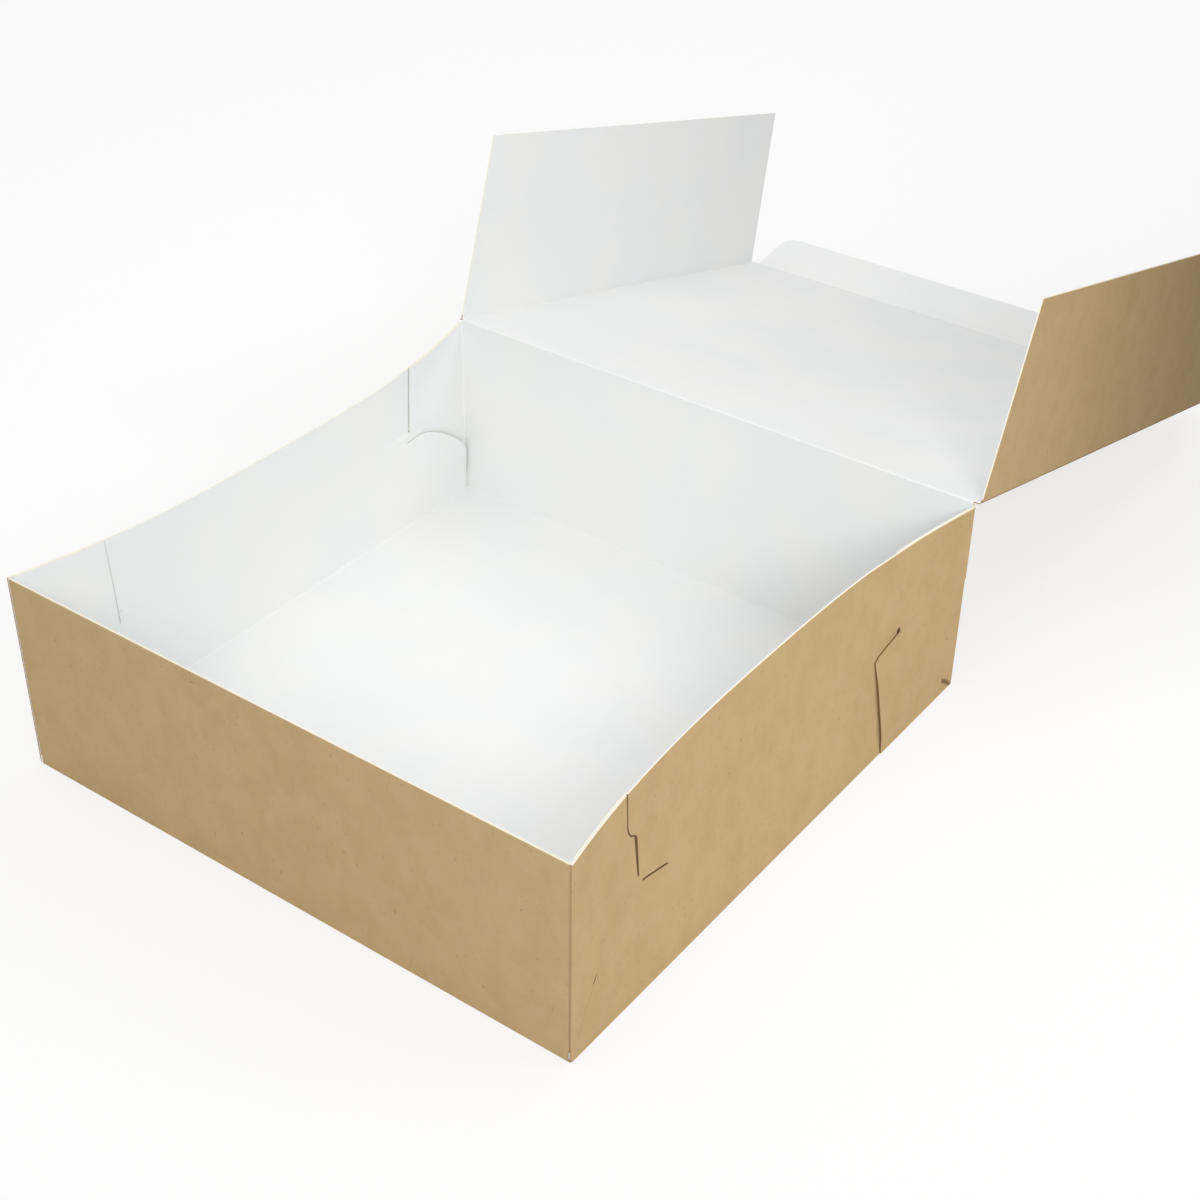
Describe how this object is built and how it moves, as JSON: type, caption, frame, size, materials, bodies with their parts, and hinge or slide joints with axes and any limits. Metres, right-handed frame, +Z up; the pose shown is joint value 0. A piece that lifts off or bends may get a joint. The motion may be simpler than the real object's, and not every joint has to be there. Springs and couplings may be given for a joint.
{
  "type": "cake box",
  "caption": "Folded cake box of thin card, brown outside and white inside, standing open: a shallow square tray with locked corners and a hinged lid with side flaps and a tuck flap.",
  "frame": {"origin": "middle of the underside of the tray's base", "axes": "+X to the box's right as seen from the front, +Y towards the back wall and the open lid, +Z up"},
  "size_m": [0.3097, 0.6341, 0.1946],
  "materials": {
    "kraft_card": "uncoated brown kraft outside, smooth white inside"
  },
  "bodies": {
    "tray": {"tray": "kraft_card"},
    "lid": {"lid": "kraft_card"},
    "left_flap": {"left_flap": "kraft_card"},
    "right_flap": {"right_flap": "kraft_card"},
    "tuck_flap": {"tuck_flap": "kraft_card"}
  },
  "joints": [
    {"name": "lid_hinge", "type": "hinge", "parent": "tray", "child": "lid", "pos_m": [0, 0.15285, 0.1033], "axis": [1, 0, 0], "range_deg": [-3.1, 194.4]},
    {"name": "left_flap_hinge", "type": "hinge", "parent": "lid", "child": "left_flap", "pos_m": [-0.153, 0.15285, 0.1033], "axis": [0, 0.9686, -0.2487], "range_deg": [-90, 85]},
    {"name": "right_flap_hinge", "type": "hinge", "parent": "lid", "child": "right_flap", "pos_m": [0.153, 0.15285, 0.1033], "axis": [0, -0.9686, 0.2487], "range_deg": [-88.5, 86.5]},
    {"name": "tuck_flap_hinge", "type": "hinge", "parent": "lid", "child": "tuck_flap", "pos_m": [0, 0.44696, 0.02779], "axis": [1, 0, 0], "range_deg": [-24, 71]}
  ]
}
